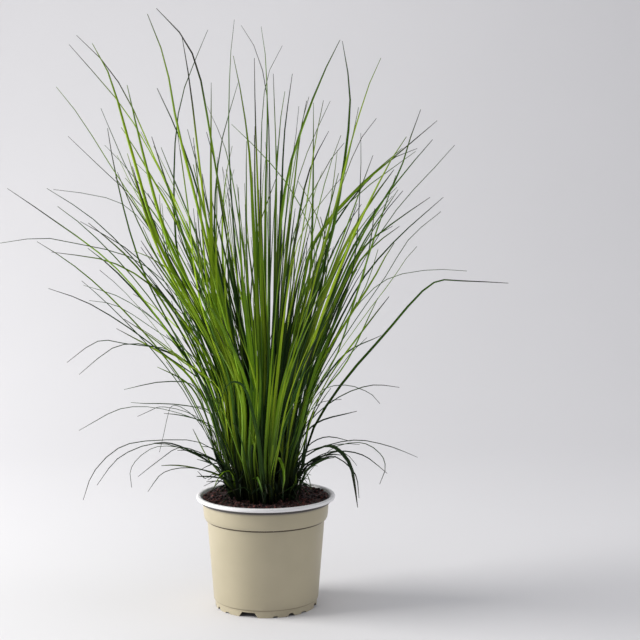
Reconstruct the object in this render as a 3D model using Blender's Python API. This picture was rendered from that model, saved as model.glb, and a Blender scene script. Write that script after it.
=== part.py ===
"""Potted ornamental grass clump: a thin nursery pot, its potting mix, and the tillers of the clump.

A clump-forming grass divides into tillers. Each tiller is one growth: a sheath that rises from the
crown and opens into a few blades. The tillers stand side by side in the potting mix and fan out, so
that the whole clump is a fountain of arching blades. Everything rests where it stands.

Units are metres. The origin is on the ground at the pot's axis, +Z is up, -Y is the front.
"""

import math

import bmesh
import bpy
import numpy as np
from mathutils import Matrix, Vector

MM = 0.001
GAP = 0.3 * MM

# Pot, a 13 cm nursery pot: radius and height of each corner of its outside, from the foot up.
RIM_RADIUS = 64.0 * MM
POT_HEIGHT = 103.0 * MM
WALL = 1.1 * MM
FOOT_RADIUS = 46.9 * MM
FOOT_HEIGHT = 6.6 * MM
WALL_LOW_RADIUS = 48.4 * MM
WALL_TOP_RADIUS = 54.3 * MM
COLLAR_LOW = 81.3 * MM
COLLAR_LOW_RADIUS = 56.2 * MM
COLLAR_RADIUS = 57.8 * MM
COLLAR_FULL = 88.0 * MM
LEDGE_RADIUS = 60.4 * MM
LEDGE_LOW = 97.0 * MM
RIM_LOW = 99.4 * MM
MOUTH_RADIUS = 59.8 * MM
FLOOR_HEIGHT = 5.0 * MM
FOOT_RING_WIDTH = 1.8 * MM
FOOT_GROOVE = 0.8 * MM
FOOT_LIP = 0.2 * MM
LEDGE_LIP = 0.4 * MM
ROLL = 0.8 * MM
ROLL_TOP = 1.2 * MM
THROAT = 2.2 * MM
INNER_CORNER = 2.0 * MM
STEP_SLOPE = 1.5 * MM
POT_SIDES = 44

# Drain slots in one half of the foot: angle from the front in degrees, then width at the ground,
# width at the top and height in mm. The other half has the same slots.
DRAIN_SLOTS = [(-78, 6.0, 4.0, 1.5), (-64, 7.0, 2.4, 2.7), (-46, 6.6, 4.6, 1.4), (-18, 18.5, 12.0, 4.6),
               (12.5, 4.8, 3.6, 1.5), (31, 8.0, 3.0, 2.7), (48.5, 7.6, 5.0, 1.5), (76, 10.0, 7.0, 3.4)]
SLOT_DEPTH = 8.0 * MM
FLOOR_HOLE_RADIUS = 4.5 * MM
FLOOR_HOLE_RING = 30.0 * MM
FLOOR_HOLES = 5
FLOOR_HOLE_SIDES = 12
FLOOR_HOLE_DEPTH = 6.0 * MM

# Potting mix: fills the pot to a little under the rim, and is level under the crown.
MIX_EDGE = 98.6 * MM
MIX_CROWN = 99.2 * MM
MIX_FLAT = 34.0 * MM
MIX_CORNER = 2.4 * MM
MIX_SIDES = 28

# Clump: the tillers widen evenly from the crown, as if drawn from a point below it.
CROWN_HEIGHT = MIX_CROWN + GAP
FAN_DEPTH = 95.0 * MM
CROWN_RADIUS = 31.0 * MM
SIDE_REACH = 40.0 * MM
TILLER_PITCH = 6.4 * MM
SETTLE_ROUNDS = 200
SHEATH_WIDTH = 3.4 * MM
LAYER = 1.3 * MM
BLADE_THICKNESS = 0.6 * MM
TIP_WIDTH = 0.7 * MM
TIP_THICKNESS = 0.45 * MM
SAMPLE = 4.0 * MM
CLEARANCE = 1.6 * MM
DEPTH_STEP = 5.0 * MM
DEPTH_TRIES = 21
SHEATH_STRAIGHT = 12.0 * MM
PARTING = 15.0 * MM
PARTING_WIDTH = 5.2 * MM
PARTED = 4
ARCH_POWER = 2.0
RINGS = 5
RING_TURN = math.radians(26)
TAPER_POWER = 2.2
BLEND_LENGTH = 0.3
BEND_WEIGHT = 60.0 * MM

# The front view is drawn in perspective, from this eye point. Depth is distance behind the pot's axis.
EYE = Vector((50 * MM, -1195 * MM, 360 * MM))

# Each tiller: top of its sheath in mm, then its blades from the outermost in. A blade is its width,
# its twist in degrees and the depth of its tip, then the points of its route in the front view, in mm.
TILLERS = [
    # Left, low arches
    (112, [(2.6, 30, -60, (-41, 123), (-68, 141), (-100, 150), (-135, 137), (-156, 111)),
           (2.2, 40, -40, (-41, 137), (-61, 151), (-96, 153), (-133, 147), (-159, 123), (-169, 97))]),
    (110, [(2.4, 30, -110, (-38, 118), (-68, 127), (-94, 123), (-109, 105)),
           (2.2, 35, -70, (-34, 126), (-60, 141), (-80, 146), (-100, 133), (-118, 119))]),
    (118, [(2.0, 20, 80, (-50, 163), (-90, 181), (-130, 183), (-172, 162)),
           (2.8, 35, 35, (-52, 178), (-82, 186), (-112, 187), (-124, 188))]),
    (120, [(3.0, 30, 10, (-66, 203), (-94, 207), (-130, 200)),
           (2.4, 30, -10, (-63, 215), (-90, 237), (-122, 241), (-152, 245), (-182, 225))]),
    (125, [(2.2, 25, -70, (-60, 215), (-104, 240), (-136, 240), (-171, 214)),
           (2.4, 25, -50, (-57, 205), (-86, 227), (-127, 258), (-165, 281), (-198, 293))]),
    # Left, long
    (128, [(2.4, 30, 60, (-55, 210), (-90, 254), (-131, 284), (-166, 296)),
           (2.2, 25, 80, (-52, 215), (-104, 257), (-138, 278), (-161, 282))]),
    (130, [(3.4, 35, 15, (-62, 205), (-99, 266), (-140, 315), (-198, 359), (-234, 384))]),
    (132, [(2.0, 20, -5, (-50, 215), (-82, 288), (-122, 321), (-168, 333), (-202, 339), (-244, 334))]),
    (135, [(2.0, 25, -90, (-52, 215), (-84, 272), (-123, 323), (-160, 359), (-198, 384)),
           (2.2, 25, -70, (-48, 222), (-82, 280), (-121, 325), (-168, 354))]),
    (140, [(2.4, 30, 90, (-50, 250), (-92, 343), (-118, 374), (-146, 400), (-178, 431)),
           (2.0, 40, 110, (-45, 255), (-85, 345), (-121, 397), (-145, 423))]),
    (140, [(2.4, 35, 40, (-45, 240), (-93, 338), (-125, 401), (-141, 439), (-148, 456))]),
    # Left, tall
    (150, [(4.2, 55, -40, (-42, 222), (-95, 329), (-122, 421), (-141, 488), (-155, 514)),
           (3.8, 55, -60, (-38, 230), (-89, 338), (-110, 414), (-124, 477))]),
    (150, [(2.8, 45, 20, (-34, 230), (-67, 333), (-99, 408), (-125, 467), (-144, 496), (-169, 521)),
           (2.6, 45, 40, (-30, 240), (-60, 325), (-95, 399), (-125, 452), (-176, 513))]),
    (150, [(2.8, 45, -95, (-30, 230), (-57, 350), (-79, 440), (-90, 500), (-105, 540)),
           (2.4, 40, -75, (-27, 240), (-55, 360), (-76, 427), (-97, 474))]),
    (155, [(3.6, 60, 10, (-18, 222), (-33, 322), (-49, 427), (-61, 493), (-73, 519), (-97, 545)),
           (3.0, 50, -15, (-24, 225), (-50, 328), (-60, 409), (-68, 481), (-74, 519))]),
    (145, [(2.8, 40, 90, (-45, 205), (-78, 310), (-83, 391), (-76, 463), (-51, 526))]),
    (160, [(5.0, 80, -70, (-28, 205), (-46, 281), (-48, 378), (-48, 479))]),
    # Middle, tall
    (160, [(3.0, 55, 60, (-18, 205), (-28, 330), (-33, 430), (-30, 512), (-27, 535)),
           (2.6, 40, 85, (-28, 205), (-46, 330), (-41, 418), (-24, 479))]),
    (160, [(4.0, 65, -110, (-5, 222), (-10, 350), (-14, 423), (-24, 486), (-28, 503)),
           (2.6, 45, -80, (0, 222), (-5, 350), (-8, 446), (-9, 501))]),
    (160, [(3.6, 60, 120, (0, 222), (0, 373), (2, 463), (0, 510), (-3, 529)),
           (2.2, 40, 150, (3, 222), (4, 400), (0, 481), (-12, 517), (-21, 530))]),
    (160, [(4.4, 75, -50, (8, 222), (10, 330), (11, 396), (8, 487)),
           (2.4, 45, -30, (0, 250), (-4, 400), (2, 483), (16, 512))]),
    (150, [(2.6, 40, 30, (30, 220), (45, 330), (24, 383), (-8, 421), (-30, 442))]),
    (155, [(3.8, 60, 35, (6, 230), (13, 337), (22, 399), (39, 452), (60, 502), (68, 517)),
           (2.2, 40, 60, (9, 240), (15, 380), (18, 437), (25, 487))]),
    (155, [(3.0, 45, -80, (12, 240), (27, 345), (45, 383), (63, 415), (72, 425)),
           (2.2, 45, -100, (12, 240), (21, 380), (29, 437), (31, 458))]),
    # Right, tall
    (150, [(3.4, 55, 75, (26, 230), (58, 331), (71, 400), (77, 468), (70, 516)),
           (2.6, 45, 105, (24, 235), (40, 300), (43, 362), (44, 461))]),
    (150, [(3.0, 50, -20, (28, 230), (62, 358), (79, 427), (97, 484), (105, 501)),
           (3.4, 55, -45, (28, 240), (60, 350), (72, 395), (82, 441), (85, 457))]),
    (145, [(2.6, 45, -120, (30, 230), (66, 375), (88, 430), (101, 447)),
           (2.4, 35, -95, (42, 215), (78, 300), (87, 396), (87, 434))]),
    (145, [(2.6, 35, 130, (28, 250), (45, 334), (84, 383), (123, 417), (156, 445)),
           (2.2, 35, 155, (30, 250), (60, 345), (110, 407), (138, 420))]),
    (145, [(2.8, 40, 50, (40, 225), (75, 320), (101, 364), (139, 413), (152, 428)),
           (2.6, 40, 75, (44, 235), (88, 340), (121, 396), (132, 430), (141, 455))]),
    (140, [(2.0, 30, -60, (42, 205), (80, 300), (120, 365), (156, 405), (172, 423)),
           (4.2, 55, -35, (36, 225), (68, 321), (95, 370), (117, 401))]),
    (140, [(2.8, 35, 100, (42, 210), (80, 318), (98, 338), (124, 358), (150, 376)),
           (2.2, 30, 130, (44, 205), (85, 295), (117, 335), (162, 376))]),
    (135, [(2.2, 30, -110, (44, 200), (80, 260), (110, 304), (132, 339), (160, 363)),
           (3.8, 55, -90, (40, 190), (64, 228), (82, 281), (98, 333), (119, 396))]),
    # Right, low
    (125, [(2.4, 30, 30, (36, 190), (65, 250), (107, 299), (149, 310), (184, 309))]),
    (120, [(4.6, 65, 115, (44, 163), (71, 206), (105, 246), (155, 299), (179, 300), (222, 298))]),
    (120, [(2.4, 30, -56, (36, 164), (66, 192), (98, 204), (123, 202)),
           (2.4, 30, -80, (40, 170), (73, 227), (93, 248))]),
    (112, [(3.2, 40, 30, (26, 142), (46, 168), (84, 180)),
           (2.6, 30, 0, (31, 134), (42, 150), (57, 156), (78, 152))]),
    (110, [(5.0, 50, -70, (28, 128), (40, 140), (61, 147), (77, 132), (85, 90)),
           (2.2, 30, -40, (38, 126), (61, 138), (82, 122), (86, 99))]),
    (112, [(2.8, 40, 55, (38, 128), (64, 142), (89, 139), (112, 122)),
           (2.2, 30, 90, (32, 138), (60, 149), (85, 153), (115, 147), (140, 137))]),
    # Front
    (114, [(3.2, 60, -150, (-8, 160), (-22, 205), (-33, 206), (-44, 181), (-46, 160))]),
    (108, [(3.6, 60, -50, (7, 118), (13, 124), (16, 112), (16, 97))]),
    (106, [(2.6, 40, -26, (-30, 114), (-38, 112), (-47, 101))]),
    (130, [(3.4, 60, -190, (10, 200), (22, 300), (34, 372)),
           (2.6, 50, -215, (14, 190), (40, 268), (66, 312))]),
    (130, [(3.4, 60, -195, (-10, 200), (-20, 300), (-24, 385)),
           (2.6, 50, -222, (-14, 190), (-42, 262), (-68, 300))]),
    # Back
    (140, [(3.2, 50, 190, (-8, 220), (-22, 340), (-36, 420), (-52, 458)),
           (2.6, 40, 220, (-14, 200), (-44, 300), (-74, 350))]),
    (140, [(3.2, 50, 205, (10, 220), (26, 330), (40, 400), (58, 436)),
           (2.6, 40, 218, (12, 200), (36, 290), (60, 330))]),
    (140, [(2.8, 45, 165, (-22, 210), (-62, 320), (-92, 380), (-120, 410)),
           (2.4, 40, 190, (-24, 190), (-66, 260), (-104, 290))]),
    (140, [(2.8, 45, 180, (34, 200), (70, 290), (94, 335), (116, 350)),
           (2.4, 40, 190, (36, 180), (72, 232), (106, 250))]),
]


def clear_scene():
    for thing in list(bpy.data.objects):
        bpy.data.objects.remove(thing, do_unlink=True)


def material(name, colour, roughness):
    made = bpy.data.materials.new(name)
    made.use_nodes = True
    shader = made.node_tree.nodes["Principled BSDF"]
    shader.inputs["Base Color"].default_value = (*colour, 1.0)
    shader.inputs["Roughness"].default_value = roughness
    shader.inputs["Metallic"].default_value = 0.0
    return made


def add_object(name, mesh, finish=None):
    made = bpy.data.objects.new(name, mesh)
    bpy.context.scene.collection.objects.link(made)
    if finish:
        mesh.materials.append(finish)
    return made


def turned(name, profile, sides, finish):
    """A closed outline of (radius, height) points turned about the Z axis, pole points welded."""
    mesh = bpy.data.meshes.new(name)
    shape = bmesh.new()
    corners = [shape.verts.new((radius, 0.0, height)) for radius, height in profile]
    edges = [shape.edges.new(pair) for pair in zip(corners, corners[1:])]
    if profile[0][0] > 0.0:
        edges.append(shape.edges.new((corners[-1], corners[0])))
    bmesh.ops.spin(shape, geom=corners + edges, cent=(0, 0, 0), axis=(0, 0, 1),
                   angle=2 * math.pi, steps=sides, use_merge=True)
    bmesh.ops.remove_doubles(shape, verts=shape.verts[:], dist=0.00001)
    bmesh.ops.recalc_face_normals(shape, faces=shape.faces[:])
    shape.to_mesh(mesh)
    shape.free()
    mesh.shade_smooth()
    mesh.set_sharp_from_angle(angle=math.radians(35))
    return add_object(name, mesh, finish)


def cutter(name, mesh):
    made = add_object(name, mesh)
    made.hide_render = True
    made.display_type = "WIRE"
    return made


def cut(target, tool):
    boolean = target.modifiers.new(tool.name, "BOOLEAN")
    boolean.operation = "DIFFERENCE"
    boolean.solver = "EXACT"
    boolean.object = tool


def slot_cutter(index, angle, ground_width, top_width, height):
    """A wedge through the foot's wall, as deep below the ground as it is high above it."""
    mesh = bpy.data.meshes.new(f"drain_slot_{index:02d}")
    shape = bmesh.new()
    bmesh.ops.create_cube(shape, size=1.0)
    bmesh.ops.scale(shape, vec=(MM, SLOT_DEPTH, 2 * height * MM), verts=shape.verts[:])
    for corner in shape.verts:
        corner.co.x *= top_width if corner.co.z > 0 else 2 * ground_width - top_width
    turn = Matrix.Rotation(math.radians(angle), 4, "Z")
    place = turn @ Matrix.Translation((0, -(FOOT_RADIUS - WALL), 0))
    bmesh.ops.transform(shape, matrix=place, verts=shape.verts[:])
    shape.to_mesh(mesh)
    shape.free()
    return cutter(mesh.name, mesh)


def make_pot():
    profile = [
        (0.0, FLOOR_HEIGHT + WALL),
        (WALL_LOW_RADIUS - WALL - INNER_CORNER, FLOOR_HEIGHT + WALL),
        (WALL_LOW_RADIUS - WALL, FLOOR_HEIGHT + WALL + INNER_CORNER),
        (WALL_TOP_RADIUS - WALL, COLLAR_LOW - STEP_SLOPE),
        (COLLAR_LOW_RADIUS - WALL, COLLAR_LOW + WALL / 2),
        (COLLAR_RADIUS - WALL, COLLAR_FULL),
        (MOUTH_RADIUS - THROAT, RIM_LOW - WALL),
        (MOUTH_RADIUS, POT_HEIGHT - ROLL),
        (MOUTH_RADIUS + ROLL_TOP, POT_HEIGHT),
        (RIM_RADIUS - ROLL_TOP, POT_HEIGHT),
        (RIM_RADIUS, POT_HEIGHT - ROLL_TOP),
        (RIM_RADIUS, RIM_LOW + ROLL),
        (RIM_RADIUS - ROLL, RIM_LOW),
        (LEDGE_RADIUS, RIM_LOW),
        (LEDGE_RADIUS - LEDGE_LIP, LEDGE_LOW),
        (COLLAR_RADIUS, LEDGE_LOW - LEDGE_LIP),
        (COLLAR_RADIUS, COLLAR_FULL),
        (COLLAR_LOW_RADIUS, COLLAR_LOW),
        (WALL_TOP_RADIUS, COLLAR_LOW - LEDGE_LIP),
        (WALL_LOW_RADIUS, FOOT_HEIGHT + FOOT_GROOVE),
        (FOOT_RADIUS + FOOT_LIP, FOOT_HEIGHT),
        (FOOT_RADIUS, 0.0),
        (FOOT_RADIUS - FOOT_RING_WIDTH, 0.0),
        (FOOT_RADIUS - FOOT_RING_WIDTH, FLOOR_HEIGHT),
        (0.0, FLOOR_HEIGHT),
    ]
    plastic = material("pot_plastic", (0.42, 0.37, 0.26), 0.45)
    pot = turned("pot", profile, POT_SIDES, plastic)
    for index, (angle, *size) in enumerate(DRAIN_SLOTS):
        cut(pot, slot_cutter(index, angle, *size))
        cut(pot, slot_cutter(index + len(DRAIN_SLOTS), angle + 180, *size))
    for index in range(FLOOR_HOLES):
        mesh = bpy.data.meshes.new(f"floor_hole_{index}")
        shape = bmesh.new()
        bmesh.ops.create_cone(shape, cap_ends=True, segments=FLOOR_HOLE_SIDES,
                              radius1=FLOOR_HOLE_RADIUS, radius2=FLOOR_HOLE_RADIUS,
                              depth=FLOOR_HOLE_DEPTH)
        turn = Matrix.Rotation(2 * math.pi * index / FLOOR_HOLES, 4, "Z")
        place = turn @ Matrix.Translation((0, FLOOR_HOLE_RING, FLOOR_HEIGHT))
        bmesh.ops.transform(shape, matrix=place, verts=shape.verts[:])
        shape.to_mesh(mesh)
        shape.free()
        cut(pot, cutter(mesh.name, mesh))


def make_potting_mix():
    """The root ball and mix: one plug with the shape of the pot's inside."""
    profile = [
        (0.0, FLOOR_HEIGHT + WALL + GAP),
        (WALL_LOW_RADIUS - WALL - MIX_CORNER, FLOOR_HEIGHT + WALL + GAP),
        (WALL_LOW_RADIUS - WALL - GAP, FLOOR_HEIGHT + WALL + MIX_CORNER),
        (WALL_TOP_RADIUS - WALL - GAP, COLLAR_LOW - STEP_SLOPE + GAP),
        (COLLAR_LOW_RADIUS - WALL - 1.5 * GAP, COLLAR_LOW + WALL / 2 + 1.5 * GAP),
        (COLLAR_RADIUS - WALL - 1.5 * GAP, COLLAR_FULL + GAP),
        (MOUTH_RADIUS - THROAT - 1.5 * GAP, MIX_EDGE),
        (MIX_FLAT, MIX_CROWN),
        (0.0, MIX_CROWN),
    ]
    turned("potting_mix", profile, MIX_SIDES, material("potting_mix", (0.035, 0.018, 0.014), 0.95))


def from_front_view(x, z, depth):
    """A point drawn at (x, z) mm in the front view, moved along the line of sight to its depth."""
    reach = 1 + depth / -EYE.y
    return Vector((EYE.x + (x * MM - EYE.x) * reach, depth, EYE.z + (z * MM - EYE.z) * reach))


def widening(height):
    """How many times wider than at the crown the clump is at a height."""
    return 1 + (height - CROWN_HEIGHT) / FAN_DEPTH


def fanned(root, height):
    """Where a tiller rooted at root passes the given height: the clump widens evenly."""
    return (root * widening(height)).to_3d() + Vector((0, 0, height))


def wanted_root(blades):
    """The root whose fan line passes by the first points of the tiller's blades."""
    x = y = 0.0
    for _, _, depth, *route in blades:
        first_x, first_z = route[0]
        top = max(z for _, z in route)
        x += first_x * MM / widening(first_z * MM)
        y += depth * MM / (widening(top * MM) + abs(route[-1][0]) * MM / SIDE_REACH)
    root = Vector((x, y)) / len(blades)
    if root.length > CROWN_RADIUS:
        root *= CROWN_RADIUS / root.length
    return root


def settle(roots):
    """Moves roots apart until the tillers stand side by side, inside the crown."""
    roots = [root.copy() for root in roots]
    for _ in range(SETTLE_ROUNDS):
        for i, a in enumerate(roots):
            for b in roots[:i]:
                between = a - b
                short = TILLER_PITCH - between.length
                if short > 0:
                    push = between.normalized() * short * 0.5
                    a += push
                    b -= push
            if a.length > CROWN_RADIUS:
                a *= CROWN_RADIUS / a.length
    return roots


def through(points, step):
    """Points about a step apart on a smooth curve through the given points."""
    ends = [2 * points[0] - points[1]] + points + [2 * points[-1] - points[-2]]
    curve = []
    for p0, p1, p2, p3 in zip(ends, ends[1:], ends[2:], ends[3:]):
        t1 = math.sqrt((p1 - p0).length)
        t2 = t1 + math.sqrt((p2 - p1).length)
        t3 = t2 + math.sqrt((p3 - p2).length)
        count = max(1, round((p2 - p1).length / step))
        for i in range(count):
            t = t1 + (t2 - t1) * i / count
            a1 = p0 * ((t1 - t) / t1) + p1 * (t / t1)
            a2 = p1 * ((t2 - t) / (t2 - t1)) + p2 * ((t - t1) / (t2 - t1))
            a3 = p2 * ((t3 - t) / (t3 - t2)) + p3 * ((t - t2) / (t3 - t2))
            b1 = a1 * ((t2 - t) / t2) + a2 * (t / t2)
            b2 = a2 * ((t3 - t) / (t3 - t1)) + a3 * ((t - t1) / (t3 - t1))
            curve.append(b1 * ((t2 - t) / (t2 - t1)) + b2 * ((t - t1) / (t2 - t1)))
    curve.append(points[-1])
    return curve


def blade_route(root, start, below, aside, depth, route):
    """The blade's curve from the top of its sheath, which points away from below, to its tip.

    It first parts from its neighbour by moving aside. Its depth follows the fan, and leaves it for
    the tip's own depth more and more along the blade.
    """
    drawn = [Vector((x * MM, z * MM)) for x, z in route]
    runs = np.cumsum([(b - a).length for a, b in zip([start.xz] + drawn, drawn)])
    leaving = depth - root.y * widening(drawn[-1].y)
    first = from_front_view(*route[0], root.y * widening(route[0][1] * MM))
    parting = min(PARTING, (first - start).length / 2)
    rising = ((start - below).normalized() + (first - start).normalized()).normalized()
    knots = [below, start, start + rising * parting + aside]
    for (x, z), run in zip(route, runs):
        fan_depth = root.y * widening(z * MM)
        knots.append(from_front_view(x, z, fan_depth + leaving * (run / runs[-1]) ** ARCH_POWER))
    curve = through(knots, SAMPLE)
    return curve[curve.index(start):]


def array_of(points):
    return np.array([tuple(point) for point in points])


def room(points, half_width, others):
    """The least space left between a blade and the other growth, which is (points, half width)."""
    least = 1.0
    for other_points, other_half in others:
        apart = np.linalg.norm(points[:, None] - other_points[None], axis=2).min()
        least = min(least, apart - half_width - other_half)
    return least


def settled_blade(root, start, below, aside, blade, others, siblings):
    """The blade's route, brought forward or back until it passes clear of the blades before it."""
    width, _, depth, *route = blade
    best = None
    for attempt in range(DEPTH_TRIES):
        shift = (attempt + 1) // 2 * DEPTH_STEP * (1 if attempt % 2 else -1)
        curve = blade_route(root, start, below, aside, depth * MM + shift, route)
        points = array_of(curve)
        free = room(points, width * MM / 2, others)
        beyond = points[PARTED:]
        free = min(free, room(beyond, width * MM / 2, siblings) + CLEARANCE)
        if best is None or free > best[0]:
            best = (free, curve)
        if free > CLEARANCE:
            break
    return best[1]


def ring_places(curve, count):
    """Which points of a curve carry a ring: closer together where it bends more."""
    weights = [0.0]
    for a, b, c in zip(curve, curve[1:], curve[2:]):
        weights.append((b - a).length + BEND_WEIGHT * (b - a).angle(c - b, 0.0))
    weights.append((curve[-1] - curve[-2]).length)
    total = np.cumsum(weights)
    return sorted({int(np.searchsorted(total, total[-1] * i / count)) for i in range(1, count)}
                  | {len(curve) - 1})


def add_side_faces(shape, lower, upper):
    for i in range(len(lower)):
        j = (i + 1) % len(lower)
        shape.faces.new((lower[i], lower[j], upper[j], upper[i]))


def add_blade(shape, base, curve, width, twist, across):
    """Lofts one blade from the base corners of its sheath layer along its curve."""
    heading = curve[-1] - curve[0]
    flat = Vector((-heading.y, heading.x, 0.0)).normalized()
    if flat.dot(across) < 0:
        flat = -flat
    turning = sum((b - a).angle(c - b, 0.0) for a, b, c in zip(curve, curve[1:], curve[2:]))
    count = RINGS + round(turning / RING_TURN)
    section = base
    last = len(curve) - 1
    for place in ring_places(curve, count):
        along = place / last
        tangent = (curve[min(place + 1, last)] - curve[place - 1]).normalized()
        wide = across.lerp(flat, min(1.0, along / BLEND_LENGTH)).normalized()
        wide = (wide - tangent * wide.dot(tangent)).normalized()
        wide = Matrix.Rotation(math.radians(twist) * along, 3, tangent) @ wide
        thick = tangent.cross(wide)
        taper = 1 - along ** TAPER_POWER
        half_wide = wide * (TIP_WIDTH + (width - TIP_WIDTH) * taper) / 2
        half_thick = thick * (TIP_THICKNESS + (BLADE_THICKNESS - TIP_THICKNESS) * taper) / 2
        centre = curve[place]
        ring = [shape.verts.new(centre - half_wide - half_thick),
                shape.verts.new(centre + half_wide - half_thick),
                shape.verts.new(centre + half_wide + half_thick),
                shape.verts.new(centre - half_wide + half_thick)]
        add_side_faces(shape, section, ring)
        section = ring
    shape.faces.new(section)


def make_tiller(name, root, sheath_top, curves, blades, outward, finish):
    """One closed body: a layered sheath, with one blade growing from the top of each layer."""
    mesh = bpy.data.meshes.new(name)
    shape = bmesh.new()
    across = Vector((0, 0, 1)).cross(outward)
    layers = len(blades)
    levels = []
    for height in (CROWN_HEIGHT, (CROWN_HEIGHT + sheath_top) / 2, sheath_top):
        centre = fanned(root, height)
        row = []
        for edge in range(layers + 1):
            middle = centre + outward * (layers / 2 - edge) * LAYER
            row.append((shape.verts.new(middle - across * SHEATH_WIDTH / 2),
                        shape.verts.new(middle + across * SHEATH_WIDTH / 2)))
        levels.append(row)
    for lower, upper in zip(levels, levels[1:]):
        add_side_faces(shape, [pair[0] for pair in lower] + [pair[1] for pair in reversed(lower)],
                       [pair[0] for pair in upper] + [pair[1] for pair in reversed(upper)])
    for outer, inner in zip(levels[0], levels[0][1:]):
        shape.faces.new((outer[0], outer[1], inner[1], inner[0]))
    for (outer, inner), curve, blade in zip(zip(levels[-1], levels[-1][1:]), curves, blades):
        base = [outer[0], outer[1], inner[1], inner[0]]
        add_blade(shape, base, curve, blade[0] * MM, blade[1], across)
    bmesh.ops.recalc_face_normals(shape, faces=shape.faces[:])
    shape.to_mesh(mesh)
    shape.free()
    add_object(name, mesh, finish)


def outermost_first(root, top, outward, blades):
    """The blades in the order of how far outwards each one sets off."""
    def setting_off(blade):
        x, z = blade[3]
        first = from_front_view(x, z, root.y * widening(z * MM))
        return (first - fanned(root, top)).normalized().dot(outward)
    return sorted(blades, key=setting_off, reverse=True)


def make_tillers():
    finishes = [material("fresh_blade", (0.16, 0.27, 0.03), 0.5),
                material("deep_blade", (0.05, 0.12, 0.03), 0.5)]
    roots = settle([wanted_root(blades) for _, blades in TILLERS])
    sheaths = []
    for (top, blades), root in zip(TILLERS, roots):
        steps = max(2, round((top * MM - CROWN_HEIGHT) / SAMPLE))
        points = [fanned(root, CROWN_HEIGHT + (top * MM - CROWN_HEIGHT) * i / steps)
                  for i in range(steps + 1)]
        sheaths.append((array_of(points), SHEATH_WIDTH / 2))
    grown = []
    for number, ((top, blades), root) in enumerate(zip(TILLERS, roots)):
        height = top * MM
        reach = Vector((0.0, 0.0))
        for _, _, depth, *route in blades:
            reach += Vector((route[-1][0], depth))
        outward = (reach * MM / len(blades) - root).to_3d().normalized()
        blades = outermost_first(root, height, outward, blades)
        others = grown + sheaths[:number] + sheaths[number + 1:]
        curves = []
        siblings = []
        for layer, blade in enumerate(blades):
            offset = outward * ((len(blades) - 1) / 2 - layer) * LAYER
            aside = outward * ((len(blades) - 1) / 2 - layer) * PARTING_WIDTH
            start = fanned(root, height) + offset
            below = fanned(root, height - SHEATH_STRAIGHT) + offset
            curve = settled_blade(root, start, below, aside, blade, others, siblings)
            curves.append(curve)
            siblings.append((array_of(curve)[PARTED:], blade[0] * MM / 2))
        for curve, blade in zip(curves, blades):
            grown.append((array_of(curve), blade[0] * MM / 2))
        make_tiller(f"tiller_{number + 1:02d}", root, height, curves, blades, outward,
                    finishes[number % 2])


clear_scene()
make_pot()
make_potting_mix()
make_tillers()
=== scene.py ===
"""The looks of a potted ornamental grass clump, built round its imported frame.

The file follows the object as it is put together: the pot, the potting mix, the tillers with all
their leaves and husks, and last the studio. Lengths are metres, and -Y is the front.
"""

import math
import random

import bpy
import numpy as np
from mathutils import Matrix, Vector


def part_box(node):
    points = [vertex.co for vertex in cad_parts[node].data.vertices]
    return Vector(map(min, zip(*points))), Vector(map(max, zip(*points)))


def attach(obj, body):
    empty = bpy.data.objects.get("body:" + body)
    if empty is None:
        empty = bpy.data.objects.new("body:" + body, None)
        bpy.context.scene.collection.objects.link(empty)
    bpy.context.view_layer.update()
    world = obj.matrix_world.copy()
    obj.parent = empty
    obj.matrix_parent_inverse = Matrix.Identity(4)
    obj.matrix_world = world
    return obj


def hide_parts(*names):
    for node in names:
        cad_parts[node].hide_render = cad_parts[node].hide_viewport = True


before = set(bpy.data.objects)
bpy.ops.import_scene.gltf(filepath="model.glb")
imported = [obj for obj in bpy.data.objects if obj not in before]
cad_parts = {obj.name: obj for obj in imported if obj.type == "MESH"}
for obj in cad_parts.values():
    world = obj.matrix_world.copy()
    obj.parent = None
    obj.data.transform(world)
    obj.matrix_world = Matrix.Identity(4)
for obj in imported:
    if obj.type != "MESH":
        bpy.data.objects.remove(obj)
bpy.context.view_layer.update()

# ---------------------------------------------------------------- the pot
# A thin nursery pot, moulded in one piece from two-tone plastic: stone-coloured outside, white inside
# and over the rolled rim. Its wall steps in under a collar, and its foot is notched so that it drains.

MM = 0.001


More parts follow.
